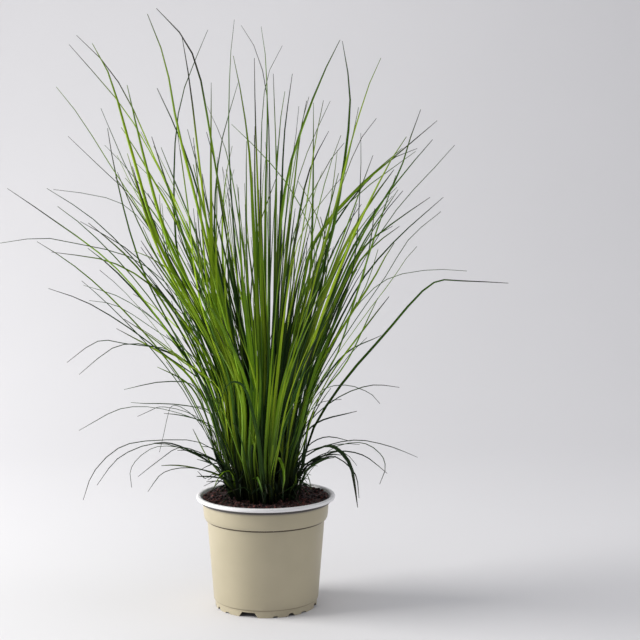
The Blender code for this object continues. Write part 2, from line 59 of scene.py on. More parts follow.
class Tone:
    """A socket of a material's nodes. Sums of tones and numbers add Math nodes to the material."""

    def __init__(self, socket):
        self.socket = socket

    def node(self, kind, settings=None, inputs=None, output=0):
        """Any other node: its settings go first, then the values or links of its sockets."""
        tree = self.socket.id_data
        made = tree.nodes.new(kind)
        for name, value in (settings or {}).items():
            if name == "stops":
                ramp = made.color_ramp
                while len(ramp.elements) < len(value):
                    ramp.elements.new(0.5)
                for stop, (place, colour) in zip(ramp.elements, value):
                    stop.position = place
                    stop.color = (*colour, 1.0)
            else:
                setattr(made, name, value)
        for name, value in (inputs or {}).items():
            if isinstance(value, Tone):
                tree.links.new(value.socket, made.inputs[name])
            else:
                made.inputs[name].default_value = value
        return Tone(made.outputs[output])

    def math(self, operation, first, second, third=0.0):
        return self.node("ShaderNodeMath", {"operation": operation}, {0: first, 1: second, 2: third})

    def __add__(self, other):
        return self.math("ADD", self, other)

    def __radd__(self, other):
        return self.math("ADD", other, self)

    def __sub__(self, other):
        return self.math("SUBTRACT", self, other)

    def __rsub__(self, other):
        return self.math("SUBTRACT", other, self)

    def __mul__(self, other):
        return self.math("MULTIPLY", self, other)

    def __rmul__(self, other):
        return self.math("MULTIPLY", other, self)

    def __pow__(self, other):
        return self.math("POWER", self, other)

    def noise(self, scale, detail=3.0, roughness=0.5):
        """Even noise, about 0.5 on average, on this tone's coordinates."""
        return self.node("ShaderNodeTexNoise", None,
                         {"Vector": self, "Scale": scale, "Detail": detail, "Roughness": roughness})

    def ramp(self, stops):
        return self.node("ShaderNodeValToRGB", {"stops": stops}, {0: self})

    def rise(self, low, high):
        """0 below low, 1 above high, and smooth between."""
        return self.node("ShaderNodeMapRange", {"interpolation_type": "SMOOTHSTEP"},
                         {"Value": self, "From Min": low, "From Max": high})

    def blend(self, first, second):
        """From the first colour to the second as this tone goes from 0 to 1."""
        def colour(value):
            return value if isinstance(value, Tone) else (*value, 1.0)
        return self.node("ShaderNodeMix", {"data_type": "RGBA"},
                         {0: self, 6: colour(first), 7: colour(second)}, 2)

    def part(self, axis):
        return self.node("ShaderNodeSeparateXYZ", None, {0: self}, axis)

    def stretched(self, x, y, z):
        return self.node("ShaderNodeMapping", None, {"Vector": self, "Scale": (x, y, z)})

    def bump(self, strength, distance):
        return self.node("ShaderNodeBump", None,
                         {"Height": self, "Strength": strength, "Distance": distance})


def new_finish(name, **constants):
    """A material, its shader, and the object's coordinates as a tone."""
    material = bpy.data.materials.new(name)
    material.use_nodes = True
    shader = material.node_tree.nodes["Principled BSDF"]
    for socket, value in constants.items():
        shader.inputs[socket.replace("_", " ")].default_value = value
    coordinates = material.node_tree.nodes.new("ShaderNodeTexCoord")
    return material, shader, Tone(coordinates.outputs["Object"])


def feed(shader, **tones):
    for socket, tone in tones.items():
        shader.id_data.links.new(tone.socket, shader.inputs[socket.replace("_", " ")])


def start_clear():
    bpy.ops.object.select_all(action="DESELECT")


def turn_up(name, rings, sides):
    """A closed round piece, drawn up ring by ring from a circle, (radius, height) at a time."""
    start_clear()
    (radius, height), *rest = rings
    bpy.ops.mesh.primitive_circle_add(vertices=sides, radius=radius, fill_type="NGON",
                                      location=(0, 0, height))
    made = bpy.context.object
    made.name = name
    bpy.ops.object.mode_set(mode="EDIT")
    bpy.ops.mesh.select_all(action="SELECT")
    bpy.ops.mesh.delete(type="ONLY_FACE")
    bpy.ops.mesh.select_all(action="SELECT")
    bpy.ops.mesh.edge_face_add()
    bpy.ops.mesh.select_all(action="SELECT")
    bpy.ops.mesh.select_mode(type="EDGE")
    for next_radius, next_height in rest:
        bpy.ops.mesh.extrude_region_move(
            TRANSFORM_OT_translate={"value": (0, 0, next_height - height)})
        scale = next_radius / radius
        bpy.ops.transform.resize(value=(scale, scale, 1), center_override=(0, 0, next_height))
        radius, height = next_radius, next_height
    bpy.ops.object.mode_set(mode="OBJECT")
    bpy.ops.object.transform_apply(location=True, rotation=True, scale=True)
    bpy.ops.object.mode_set(mode="EDIT")
    bpy.ops.mesh.select_all(action="DESELECT")
    bpy.ops.mesh.select_non_manifold(extend=False, use_boundary=True)
    bpy.ops.mesh.edge_face_add()
    bpy.ops.mesh.select_all(action="SELECT")
    bpy.ops.mesh.normals_make_consistent(inside=False)
    bpy.ops.object.mode_set(mode="OBJECT")
    return made


def joined(name, parts):
    start_clear()
    for part in parts:
        part.select_set(True)
    bpy.context.view_layer.objects.active = parts[0]
    bpy.ops.object.join()
    parts[0].name = name
    parts[0].data.name = name
    return parts[0]


def arc(middle, radius, start, end, steps):
    """Points of an arc in the profile, by angles in degrees from straight outwards."""
    angles = [math.radians(start + (end - start) * i / steps) for i in range(steps + 1)]
    return [(middle[0] + radius * math.cos(a), middle[1] + radius * math.sin(a)) for a in angles]


def keep(piece, body, slot, *nodes):
    """The piece rides on its body and stands for its CAD nodes."""
    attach(piece, body)
    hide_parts(*nodes)


_, pot_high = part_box("pot")
POT_TOP = pot_high.z
RIM_RADIUS = pot_high.x
MOUTH_RADIUS = RIM_RADIUS - 4.2 * MM
RIM_LOW = POT_TOP - 3.6 * MM
LEDGE_RADIUS = RIM_RADIUS - 3.6 * MM
COLLAR_RADIUS = RIM_RADIUS - 6.2 * MM
COLLAR_FULL = 88.0 * MM
COLLAR_LOW = 81.3 * MM
COLLAR_LOW_RADIUS = 56.2 * MM
WALL_TOP_RADIUS = 54.3 * MM
WALL_LOW_RADIUS = 48.4 * MM
FOOT_HEIGHT = 6.6 * MM
FOOT_RADIUS = 46.9 * MM
FLOOR_HEIGHT = 5.0 * MM
WALL = 1.1 * MM
POT_SIDES = 128

# Drain slots in one half of the foot: angle from the front in degrees, then width at the ground,
# width at the top and height in mm. The other half has the same slots.
DRAIN_SLOTS = [(-78, 6.0, 4.0, 1.5), (-64, 7.0, 2.4, 2.7), (-46, 6.6, 4.6, 1.4), (-18, 18.5, 12.0, 4.6),
               (12.5, 4.8, 3.6, 1.5), (31, 8.0, 3.0, 2.7), (48.5, 7.6, 5.0, 1.5), (76, 10.0, 7.0, 3.4)]
SLOT_DEPTH = 8.0 * MM
FLOOR_HOLES = 5
FLOOR_HOLE_RADIUS = 4.5 * MM
FLOOR_HOLE_RING = 30.0 * MM
FLOOR_HOLE_DEPTH = 6.0 * MM

# The wall's outline as (radius, height), from the middle of the floor out, over the rolled rim and back.
hub = 1.0 * MM
lip = 1.5 * MM
outside = [
    (hub, FLOOR_HEIGHT),
    (FOOT_RADIUS - 3.0 * MM, FLOOR_HEIGHT),
    (FOOT_RADIUS - 1.8 * MM, FLOOR_HEIGHT - 1.0 * MM),
    (FOOT_RADIUS - 1.8 * MM, 0.3 * MM),
    (FOOT_RADIUS - 1.5 * MM, 0.0),
    (FOOT_RADIUS - 0.3 * MM, 0.0),
    (FOOT_RADIUS, 0.3 * MM),
    (FOOT_RADIUS + 0.2 * MM, FOOT_HEIGHT - 0.3 * MM),
    (FOOT_RADIUS + 0.6 * MM, FOOT_HEIGHT + 0.1 * MM),
    (WALL_LOW_RADIUS - 0.2 * MM, FOOT_HEIGHT + 0.3 * MM),
    (WALL_LOW_RADIUS, FOOT_HEIGHT + 0.8 * MM),
    (WALL_TOP_RADIUS - 0.1 * MM, COLLAR_LOW - 1.2 * MM),
    (WALL_TOP_RADIUS - 0.4 * MM, COLLAR_LOW - 0.9 * MM),
    (WALL_TOP_RADIUS - 0.4 * MM, COLLAR_LOW - 0.2 * MM),
    (COLLAR_LOW_RADIUS - 0.3 * MM, COLLAR_LOW - 0.2 * MM),
    (COLLAR_LOW_RADIUS, COLLAR_LOW + 0.2 * MM),
    (COLLAR_LOW_RADIUS + 0.5 * MM, COLLAR_LOW + 1.2 * MM),
    (COLLAR_LOW_RADIUS + 0.9 * MM, COLLAR_LOW + 2.8 * MM),
    (COLLAR_LOW_RADIUS + 1.2 * MM, COLLAR_LOW + 4.8 * MM),
    (COLLAR_RADIUS - 0.2 * MM, COLLAR_FULL + 0.6 * MM),
    (COLLAR_RADIUS + 0.2 * MM, RIM_LOW - 3.4 * MM),
    (LEDGE_RADIUS - 0.5 * MM, RIM_LOW - 2.6 * MM),
    (LEDGE_RADIUS - 0.2 * MM, RIM_LOW - 2.2 * MM),
    (LEDGE_RADIUS, RIM_LOW + 0.2 * MM),
    (RIM_RADIUS - 1.4 * MM, RIM_LOW + 0.1 * MM),
]
roll = (arc((RIM_RADIUS - lip, RIM_LOW + lip), lip, -90, 0, 4)
        + arc((RIM_RADIUS - lip, POT_TOP - lip), lip, 0, 90, 5)
        + arc((MOUTH_RADIUS + lip, POT_TOP - lip), lip, 95, 170, 4))
inside = [
    (MOUTH_RADIUS - 0.5 * MM, POT_TOP - 2.6 * MM),
    (MOUTH_RADIUS - 2.2 * MM, RIM_LOW - 1.0 * MM),
    (COLLAR_RADIUS - WALL, COLLAR_FULL),
    (COLLAR_LOW_RADIUS - WALL, COLLAR_LOW + 0.6 * MM),
    (WALL_TOP_RADIUS - WALL, COLLAR_LOW - 1.5 * MM),
    (WALL_LOW_RADIUS - WALL, FLOOR_HEIGHT + WALL + 2.0 * MM),
    (WALL_LOW_RADIUS - WALL - 2.0 * MM, FLOOR_HEIGHT + WALL),
    (hub, FLOOR_HEIGHT + WALL),
]
pot = turn_up("nursery_pot", outside + roll + inside, POT_SIDES)

start_clear()
cutters = []
for angle, low_width, top_width, height in DRAIN_SLOTS + [(a + 180, *size) for a, *size in DRAIN_SLOTS]:
    bpy.ops.mesh.primitive_cube_add(size=1.0)
    wedge = bpy.context.object
    wedge.scale = (MM, SLOT_DEPTH, 2 * height * MM)
    bpy.ops.object.transform_apply(scale=True)
    for corner in wedge.data.vertices:
        corner.co.x *= top_width if corner.co.z > 0 else 2 * low_width - top_width
    turn = Matrix.Rotation(math.radians(angle), 4, "Z")
    wedge.data.transform(turn @ Matrix.Translation((0, WALL - FOOT_RADIUS, 0)))
    cutters.append(wedge)
for index in range(FLOOR_HOLES):
    turn = Matrix.Rotation(2 * math.pi * index / FLOOR_HOLES, 4, "Z")
    place = turn @ Vector((0, FLOOR_HOLE_RING, FLOOR_HEIGHT))
    bpy.ops.mesh.primitive_cylinder_add(vertices=24, radius=FLOOR_HOLE_RADIUS, depth=FLOOR_HOLE_DEPTH,
                                        location=place)
    bpy.ops.object.transform_apply(location=True)
    cutters.append(bpy.context.object)
cutter = joined("drain_cutter", cutters)
start_clear()
pot.select_set(True)
bpy.context.view_layer.objects.active = pot
# The notches and the holes go out in one cut.
drain = pot.modifiers.new("drain", "BOOLEAN")
drain.operation = "DIFFERENCE"
drain.solver = "EXACT"
drain.object = cutter
bpy.ops.object.modifier_apply(modifier="drain")
bpy.data.objects.remove(cutter, do_unlink=True)
bpy.ops.object.shade_smooth_by_angle(angle=math.radians(38))

stone_plastic, shader, spot = new_finish("stone_plastic", Roughness=0.42, Specular_IOR_Level=0.45)
cloud = spot.noise(18.0, 4.0)
grain = spot.noise(900.0, 2.0)
height = spot.part(2)
off_axis = (spot.part(0) ** 2 + spot.part(1) ** 2) ** 0.5
low_dust = (1 - height.rise(0.0, 0.022)) * spot.noise(60.0, 5.0).rise(0.42, 0.72)
# Painted shade: a dark line in the groove under the collar's step.
step_shade_line = height.rise(COLLAR_LOW - 1.7 * MM, COLLAR_LOW - 1.4 * MM) * (
    1 - height.rise(COLLAR_LOW, COLLAR_LOW + 0.25 * MM))
# Painted shade: a line in the groove where the wall steps out over the foot.
foot_shade_line = height.rise(FOOT_HEIGHT - 0.5 * MM, FOOT_HEIGHT - 0.1 * MM) * (
    1 - height.rise(FOOT_HEIGHT + 0.5 * MM, FOOT_HEIGHT + 0.9 * MM))
# Painted shade under the rolled rim: a dark line right under it, and a grey band over the ledge below.
under_rim_shadow = height.rise(RIM_LOW - 2.9 * MM, RIM_LOW - 2.4 * MM)
ledge_shade = height.rise(RIM_LOW - 5.0 * MM, RIM_LOW - 3.2 * MM)
# Painted shade: near-black inside the hollow foot, under the floor.
foot_hollow_shade = (1 - off_axis.rise(FOOT_RADIUS - 0.9 * MM, FOOT_RADIUS - 0.3 * MM)) * (
    1 - height.rise(FLOOR_HEIGHT + 0.2 * MM, FLOOR_HEIGHT + 0.6 * MM))
shell_colour = cloud.rise(0.3, 0.7).blend((0.415, 0.368, 0.255), (0.455, 0.404, 0.284))
# The bands of painted shade above darken the shell's colour here.
shell_colour = (ledge_shade * 0.55).blend(shell_colour, (0.17, 0.155, 0.135))
shell_colour = (under_rim_shadow * 0.95).blend(shell_colour, (0.05, 0.045, 0.045))
shell_colour = (step_shade_line * 0.92).blend(shell_colour, (0.050, 0.034, 0.018))
shell_colour = (foot_shade_line * 0.7).blend(shell_colour, (0.11, 0.08, 0.05))
shell_colour = (foot_hollow_shade * 0.9).blend(shell_colour, (0.03, 0.025, 0.02))
feed(shader, Base_Color=(low_dust * 0.35).blend(shell_colour, (0.32, 0.27, 0.20)),
     Roughness=0.38 + cloud * 0.12 + low_dust * 0.2,
     Normal=(grain * 0.35 + spot.stretched(1, 1, 0.08).noise(160.0, 2.0)).bump(0.06, 0.0004))

white_plastic, shader, spot = new_finish("white_plastic", Roughness=0.35, Specular_IOR_Level=0.5)
splash = spot.noise(140.0, 6.0, 0.7).rise(0.52, 0.66) * (1 - spot.part(2).rise(0.094, 0.1005))
feed(shader, Base_Color=(splash * 0.75).blend((0.80, 0.79, 0.80), (0.09, 0.055, 0.042)),
     Roughness=0.33 + spot.noise(30.0) * 0.14 + splash * 0.3,
     Normal=spot.noise(700.0, 2.0).bump(0.04, 0.0003))

pot.data.materials.append(stone_plastic)
pot.data.materials.append(white_plastic)
for face in pot.data.polygons:
    radius = Vector(face.center[:2]).length
    faces_in = Vector(face.normal[:2]).dot(Vector(face.center[:2])) < 0 or face.normal.z > 0.9
    in_bowl = face.center.z > FLOOR_HEIGHT + WALL / 2 and radius < RIM_RADIUS and faces_in
    if face.center.z > RIM_LOW + 0.15 * MM or (in_bowl and face.center.z > FOOT_HEIGHT):
        face.material_index = 1
keep(pot, "root", "pot_plastic", "pot")

# ------------------------------------------------------- the potting mix
# Peat and fine red-brown bark, pressed to the shape of the pot round the roots. Its top is loose: a
# lumpy skin with crumbs of many sizes lying on it, a few millimetres under the rim.

_, mix_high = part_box("potting_mix")
MIX_CROWN = mix_high.z
MIX_EDGE = MIX_CROWN + 1.9 * MM
MIX_SIDES = 96
MIX_CORNER = 2.4 * MM
SKIN = 0.3 * MM
sides_up = [
    (hub, FLOOR_HEIGHT + WALL + SKIN),
    (WALL_LOW_RADIUS - WALL - MIX_CORNER, FLOOR_HEIGHT + WALL + SKIN),
    (WALL_LOW_RADIUS - WALL - SKIN, FLOOR_HEIGHT + WALL + MIX_CORNER),
    (WALL_TOP_RADIUS - WALL - SKIN, COLLAR_LOW - 1.2 * MM),
    (COLLAR_LOW_RADIUS - WALL - 0.4 * MM, COLLAR_LOW + 1.1 * MM),
    (COLLAR_RADIUS - WALL - 0.4 * MM, COLLAR_FULL + 0.2 * MM),
    (MOUTH_RADIUS - 2.2 * MM, MIX_EDGE - 2.4 * MM),
]
TOP_RINGS = 14
TOP_STEEP = 1.6
top_radius = MOUTH_RADIUS - 1.5 * MM
top_dip = MIX_CROWN - MIX_EDGE - 1.0 * MM
top_in = []
for ring in range(TOP_RINGS):
    share = ring / TOP_RINGS
    top_in.append((top_radius * (1 - share) + hub * share, MIX_EDGE + top_dip * share ** TOP_STEEP))
mix = turn_up("potting_mix_top", sides_up + top_in, MIX_SIDES)
top_points = mix.vertex_groups.new(name="top")
top_points.add([v.index for v in mix.data.vertices if v.co.z > MIX_EDGE - 0.1 * MM], 1.0, "REPLACE")
for title, size, height in (("lumps", 7.0 * MM, 2.2 * MM), ("crumb", 2.2 * MM, 1.3 * MM)):
    relief = bpy.data.textures.new(title, "CLOUDS")
    relief.noise_scale = size
    relief.noise_depth = 2
    bumps = mix.modifiers.new(title, "DISPLACE")
    bumps.texture = relief
    bumps.texture_coords = "LOCAL"
    bumps.direction = "Z"
    bumps.mid_level = 0.5
    bumps.strength = height
    bumps.vertex_group = "top"
    bpy.ops.object.modifier_apply(modifier=title)
bpy.ops.object.shade_smooth()

LUMP_KINDS = 6
ROUGH_KINDS = 4
LUMPS = 900
LUMP_SMALL = 0.55 * MM
LUMP_LARGE = 2.4 * MM
LUMP_BREADTH = 0.72
LUMP_RAGGED = 0.28
dice = random.Random(11)
kinds = []
for seed in range(LUMP_KINDS):
    start_clear()
    bpy.ops.mesh.primitive_ico_sphere_add(subdivisions=1 if seed < ROUGH_KINDS else 2, radius=1.0)
    kind = bpy.context.object
    bpy.ops.object.mode_set(mode="EDIT")
    bpy.ops.mesh.select_all(action="SELECT")
    bpy.ops.transform.vertex_random(offset=LUMP_RAGGED, seed=seed)
    flat = 0.45 + 0.09 * seed
    bpy.ops.transform.resize(value=(1.0, LUMP_BREADTH, flat), center_override=(0, 0, 0))
    bpy.ops.object.mode_set(mode="OBJECT")
    bpy.ops.object.shade_smooth_by_angle(angle=math.radians(50))
    kinds.append(kind)
crumbs = []
for number in range(LUMPS):
    radius = (top_radius - 1.6 * MM) * math.sqrt(dice.random())
    angle = dice.uniform(0, 2 * math.pi)
    size = LUMP_SMALL + (LUMP_LARGE - LUMP_SMALL) * dice.random() ** 2.4
    share = 1 - radius / top_radius
    height = MIX_EDGE + top_dip * share ** TOP_STEEP + size * 0.25
    place = Matrix.Translation((radius * math.cos(angle), radius * math.sin(angle), height))
    turn = Matrix.Rotation(dice.uniform(0, 2 * math.pi), 4, "Z") @ Matrix.Rotation(
        dice.uniform(-0.7, 0.7), 4, "X")
    crumb = bpy.data.objects.new("crumb", kinds[number % LUMP_KINDS].data.copy())
    bpy.context.collection.objects.link(crumb)
    crumb.data.transform(place @ turn @ Matrix.Scale(size, 4))
    crumbs.append(crumb)
for kind in kinds:
    bpy.data.objects.remove(kind, do_unlink=True)
mix = joined("potting_mix_top", [mix, *crumbs])

mix_finish, shader, spot = new_finish("damp_mix", Roughness=0.9, Specular_IOR_Level=0.35)
lump_tone = spot.noise(420.0, 2.0)
fibre = spot.noise(1500.0, 5.0, 0.7)
peat = (lump_tone * 0.8 + fibre * 0.2).ramp([
    (0.28, (0.005, 0.003, 0.004)), (0.46, (0.010, 0.004, 0.004)), (0.57, (0.055, 0.015, 0.013)),
    (0.66, (0.160, 0.046, 0.036)), (0.78, (0.32, 0.16, 0.12))])
feed(shader, Base_Color=peat, Roughness=0.62 + fibre * 0.4, Normal=fibre.bump(0.7, 0.0005))
mix.data.materials.clear()
mix.data.materials.append(mix_finish)
keep(mix, "root", "potting_mix", "potting_mix")

# ----------------------------------------------------------- the tillers
# A clump-forming grass divides into tillers. Each is one growth: narrow leaves whose folded bases wrap
# one another from the crown up, then part and arch out. The outer ones of the frame are repeated here
# to the point, and every tiller has its finer, younger leaves between them.

GAP = 0.3 * MM
CROWN_HEIGHT = MIX_CROWN + GAP
FAN_DEPTH = 95.0 * MM
CROWN_RADIUS = 31.0 * MM
SIDE_REACH = 40.0 * MM
TILLER_PITCH = 6.4 * MM
SETTLE_ROUNDS = 200
SHEATH_WIDTH = 3.4 * MM
LAYER = 1.3 * MM
SAMPLE = 4.0 * MM
CLEARANCE = 1.6 * MM
DEPTH_STEP = 5.0 * MM
DEPTH_TRIES = 21
SHEATH_STRAIGHT = 12.0 * MM
PARTING = 15.0 * MM
PARTING_WIDTH = 5.2 * MM
PARTED = 4
ARCH_POWER = 2.0

# The routes are drawn in perspective, from this eye point. Depth is distance behind the pot's axis.
EYE = Vector((50 * MM, -1195 * MM, 360 * MM))

# Each tiller: top of its sheath in mm, then its blades from the outermost in. A blade is its width,
# its twist in degrees and the depth of its tip, then the points of its route in the front view, in mm.
TILLERS = [
    # Left, low arches
    (112, [(2.6, 30, -60, (-41, 123), (-68, 141), (-100, 150), (-135, 137), (-156, 111)),
           (2.2, 40, -40, (-41, 137), (-61, 151), (-96, 153), (-133, 147), (-159, 123), (-169, 97))]),
    (110, [(2.4, 30, -110, (-38, 118), (-68, 127), (-94, 123), (-109, 105)),
           (2.2, 35, -70, (-34, 126), (-60, 141), (-80, 146), (-100, 133), (-118, 119))]),
    (118, [(2.0, 20, 80, (-50, 163), (-90, 181), (-130, 183), (-172, 162)),
           (2.8, 35, 35, (-52, 178), (-82, 186), (-112, 187), (-124, 188))]),
    (120, [(3.0, 30, 10, (-66, 203), (-94, 207), (-130, 200)),
           (2.4, 30, -10, (-63, 215), (-90, 237), (-122, 241), (-152, 245), (-182, 225))]),
    (125, [(2.2, 25, -70, (-60, 215), (-104, 240), (-136, 240), (-171, 214)),
           (2.4, 25, -50, (-57, 205), (-86, 227), (-127, 258), (-165, 281), (-198, 293))]),
    # Left, long
    (128, [(2.4, 30, 60, (-55, 210), (-90, 254), (-131, 284), (-166, 296)),
           (2.2, 25, 80, (-52, 215), (-104, 257), (-138, 278), (-161, 282))]),
    (130, [(3.4, 35, 15, (-62, 205), (-99, 266), (-140, 315), (-198, 359), (-234, 384))]),
    (132, [(2.0, 20, -5, (-50, 215), (-82, 288), (-122, 321), (-168, 333), (-202, 339), (-244, 334))]),
    (135, [(2.0, 25, -90, (-52, 215), (-84, 272), (-123, 323), (-160, 359), (-198, 384)),
           (2.2, 25, -70, (-48, 222), (-82, 280), (-121, 325), (-168, 354))]),
    (140, [(2.4, 30, 90, (-50, 250), (-92, 343), (-118, 374), (-146, 400), (-178, 431)),
           (2.0, 40, 110, (-45, 255), (-85, 345), (-121, 397), (-145, 423))]),
    (140, [(2.4, 35, 40, (-45, 240), (-93, 338), (-125, 401), (-141, 439), (-148, 456))]),
    # Left, tall
    (150, [(4.2, 55, -40, (-42, 222), (-95, 329), (-122, 421), (-141, 488), (-155, 514)),
           (3.8, 55, -60, (-38, 230), (-89, 338), (-110, 414), (-124, 477))]),
    (150, [(2.8, 45, 20, (-34, 230), (-67, 333), (-99, 408), (-125, 467), (-144, 496), (-169, 521)),
           (2.6, 45, 40, (-30, 240), (-60, 325), (-95, 399), (-125, 452), (-176, 513))]),
    (150, [(2.8, 45, -95, (-30, 230), (-57, 350), (-79, 440), (-90, 500), (-105, 540)),
           (2.4, 40, -75, (-27, 240), (-55, 360), (-76, 427), (-97, 474))]),
    (155, [(3.6, 60, 10, (-18, 222), (-33, 322), (-49, 427), (-61, 493), (-73, 519), (-97, 545)),
           (3.0, 50, -15, (-24, 225), (-50, 328), (-60, 409), (-68, 481), (-74, 519))]),
    (145, [(2.8, 40, 90, (-45, 205), (-78, 310), (-83, 391), (-76, 463), (-51, 526))]),
    (160, [(5.0, 80, -70, (-28, 205), (-46, 281), (-48, 378), (-48, 479))]),
    # Middle, tall
    (160, [(3.0, 55, 60, (-18, 205), (-28, 330), (-33, 430), (-30, 512), (-27, 535)),
           (2.6, 40, 85, (-28, 205), (-46, 330), (-41, 418), (-24, 479))]),
    (160, [(4.0, 65, -110, (-5, 222), (-10, 350), (-14, 423), (-24, 486), (-28, 503)),
           (2.6, 45, -80, (0, 222), (-5, 350), (-8, 446), (-9, 501))]),
    (160, [(3.6, 60, 120, (0, 222), (0, 373), (2, 463), (0, 510), (-3, 529)),
           (2.2, 40, 150, (3, 222), (4, 400), (0, 481), (-12, 517), (-21, 530))]),
    (160, [(4.4, 75, -50, (8, 222), (10, 330), (11, 396), (8, 487)),
           (2.4, 45, -30, (0, 250), (-4, 400), (2, 483), (16, 512))]),
    (150, [(2.6, 40, 30, (30, 220), (45, 330), (24, 383), (-8, 421), (-30, 442))]),
    (155, [(3.8, 60, 35, (6, 230), (13, 337), (22, 399), (39, 452), (60, 502), (68, 517)),
           (2.2, 40, 60, (9, 240), (15, 380), (18, 437), (25, 487))]),
    (155, [(3.0, 45, -80, (12, 240), (27, 345), (45, 383), (63, 415), (72, 425)),
           (2.2, 45, -100, (12, 240), (21, 380), (29, 437), (31, 458))]),
    # Right, tall
    (150, [(3.4, 55, 75, (26, 230), (58, 331), (71, 400), (77, 468), (70, 516)),
           (2.6, 45, 105, (24, 235), (40, 300), (43, 362), (44, 461))]),
    (150, [(3.0, 50, -20, (28, 230), (62, 358), (79, 427), (97, 484), (105, 501)),
           (3.4, 55, -45, (28, 240), (60, 350), (72, 395), (82, 441), (85, 457))]),
    (145, [(2.6, 45, -120, (30, 230), (66, 375), (88, 430), (101, 447)),
           (2.4, 35, -95, (42, 215), (78, 300), (87, 396), (87, 434))]),
    (145, [(2.6, 35, 130, (28, 250), (45, 334), (84, 383), (123, 417), (156, 445)),
           (2.2, 35, 155, (30, 250), (60, 345), (110, 407), (138, 420))]),
    (145, [(2.8, 40, 50, (40, 225), (75, 320), (101, 364), (139, 413), (152, 428)),
           (2.6, 40, 75, (44, 235), (88, 340), (121, 396), (132, 430), (141, 455))]),
    (140, [(2.0, 30, -60, (42, 205), (80, 300), (120, 365), (156, 405), (172, 423)),
           (4.2, 55, -35, (36, 225), (68, 321), (95, 370), (117, 401))]),
    (140, [(2.8, 35, 100, (42, 210), (80, 318), (98, 338), (124, 358), (150, 376)),
           (2.2, 30, 130, (44, 205), (85, 295), (117, 335), (162, 376))]),
    (135, [(2.2, 30, -110, (44, 200), (80, 260), (110, 304), (132, 339), (160, 363)),
           (3.8, 55, -90, (40, 190), (64, 228), (82, 281), (98, 333), (119, 396))]),
    # Right, low
    (125, [(2.4, 30, 30, (36, 190), (65, 250), (107, 299), (149, 310), (184, 309))]),
    (120, [(4.6, 65, 115, (44, 163), (71, 206), (105, 246), (155, 299), (179, 300), (222, 298))]),
    (120, [(2.4, 30, -56, (36, 164), (66, 192), (98, 204), (123, 202)),
           (2.4, 30, -80, (40, 170), (73, 227), (93, 248))]),
    (112, [(3.2, 40, 30, (26, 142), (46, 168), (84, 180)),
           (2.6, 30, 0, (31, 134), (42, 150), (57, 156), (78, 152))]),
    (110, [(5.0, 50, -70, (28, 128), (40, 140), (61, 147), (77, 132), (85, 90)),
           (2.2, 30, -40, (38, 126), (61, 138), (82, 122), (86, 99))]),
    (112, [(2.8, 40, 55, (38, 128), (64, 142), (89, 139), (112, 122)),
           (2.2, 30, 90, (32, 138), (60, 149), (85, 153), (115, 147), (140, 137))]),
    # Front
    (114, [(3.2, 60, -150, (-8, 160), (-22, 205), (-33, 206), (-44, 181), (-46, 160))]),
    (108, [(3.6, 60, -50, (7, 118), (13, 124), (16, 112), (16, 97))]),
    (106, [(2.6, 40, -26, (-30, 114), (-38, 112), (-47, 101))]),
    (130, [(3.4, 60, -190, (10, 200), (22, 300), (34, 372)),
           (2.6, 50, -215, (14, 190), (40, 268), (66, 312))]),
    (130, [(3.4, 60, -195, (-10, 200), (-20, 300), (-24, 385)),
           (2.6, 50, -222, (-14, 190), (-42, 262), (-68, 300))]),
    # Back
    (140, [(3.2, 50, 190, (-8, 220), (-22, 340), (-36, 420), (-52, 458)),
           (2.6, 40, 220, (-14, 200), (-44, 300), (-74, 350))]),
    (140, [(3.2, 50, 205, (10, 220), (26, 330), (40, 400), (58, 436)),
           (2.6, 40, 218, (12, 200), (36, 290), (60, 330))]),
    (140, [(2.8, 45, 165, (-22, 210), (-62, 320), (-92, 380), (-120, 410)),
           (2.4, 40, 190, (-24, 190), (-66, 260), (-104, 290))]),
    (140, [(2.8, 45, 180, (34, 200), (70, 290), (94, 335), (116, 350)),
           (2.4, 40, 190, (36, 180), (72, 232), (106, 250))]),
]


def from_front_view(x, z, depth):
    """A point drawn at (x, z) mm in the front view, moved along the line of sight to its depth."""
    reach = 1 + depth / -EYE.y
    return Vector((EYE.x + (x * MM - EYE.x) * reach, depth, EYE.z + (z * MM - EYE.z) * reach))


def widening(height):
    """How many times wider than at the crown the clump is at a height."""
    return 1 + (height - CROWN_HEIGHT) / FAN_DEPTH


def fanned(root, height):
    """Where a tiller rooted at root passes the given height: the clump widens evenly."""
    return (root * widening(height)).to_3d() + Vector((0, 0, height))


def wanted_root(blades):
    """The root whose fan line passes by the first points of the tiller's blades."""
    x = y = 0.0
    for _, _, depth, *route in blades:
        first_x, first_z = route[0]
        top = max(z for _, z in route)
        x += first_x * MM / widening(first_z * MM)
        y += depth * MM / (widening(top * MM) + abs(route[-1][0]) * MM / SIDE_REACH)
    root = Vector((x, y)) / len(blades)
    if root.length > CROWN_RADIUS:
        root *= CROWN_RADIUS / root.length
    return root


def settle(roots):
    """Moves roots apart until the tillers stand side by side, inside the crown."""
    roots = [root.copy() for root in roots]
    for _ in range(SETTLE_ROUNDS):
        for i, a in enumerate(roots):
            for b in roots[:i]:
                between = a - b
                short = TILLER_PITCH - between.length
                if short > 0:
                    push = between.normalized() * short * 0.5
                    a += push
                    b -= push
            if a.length > CROWN_RADIUS:
                a *= CROWN_RADIUS / a.length
    return roots


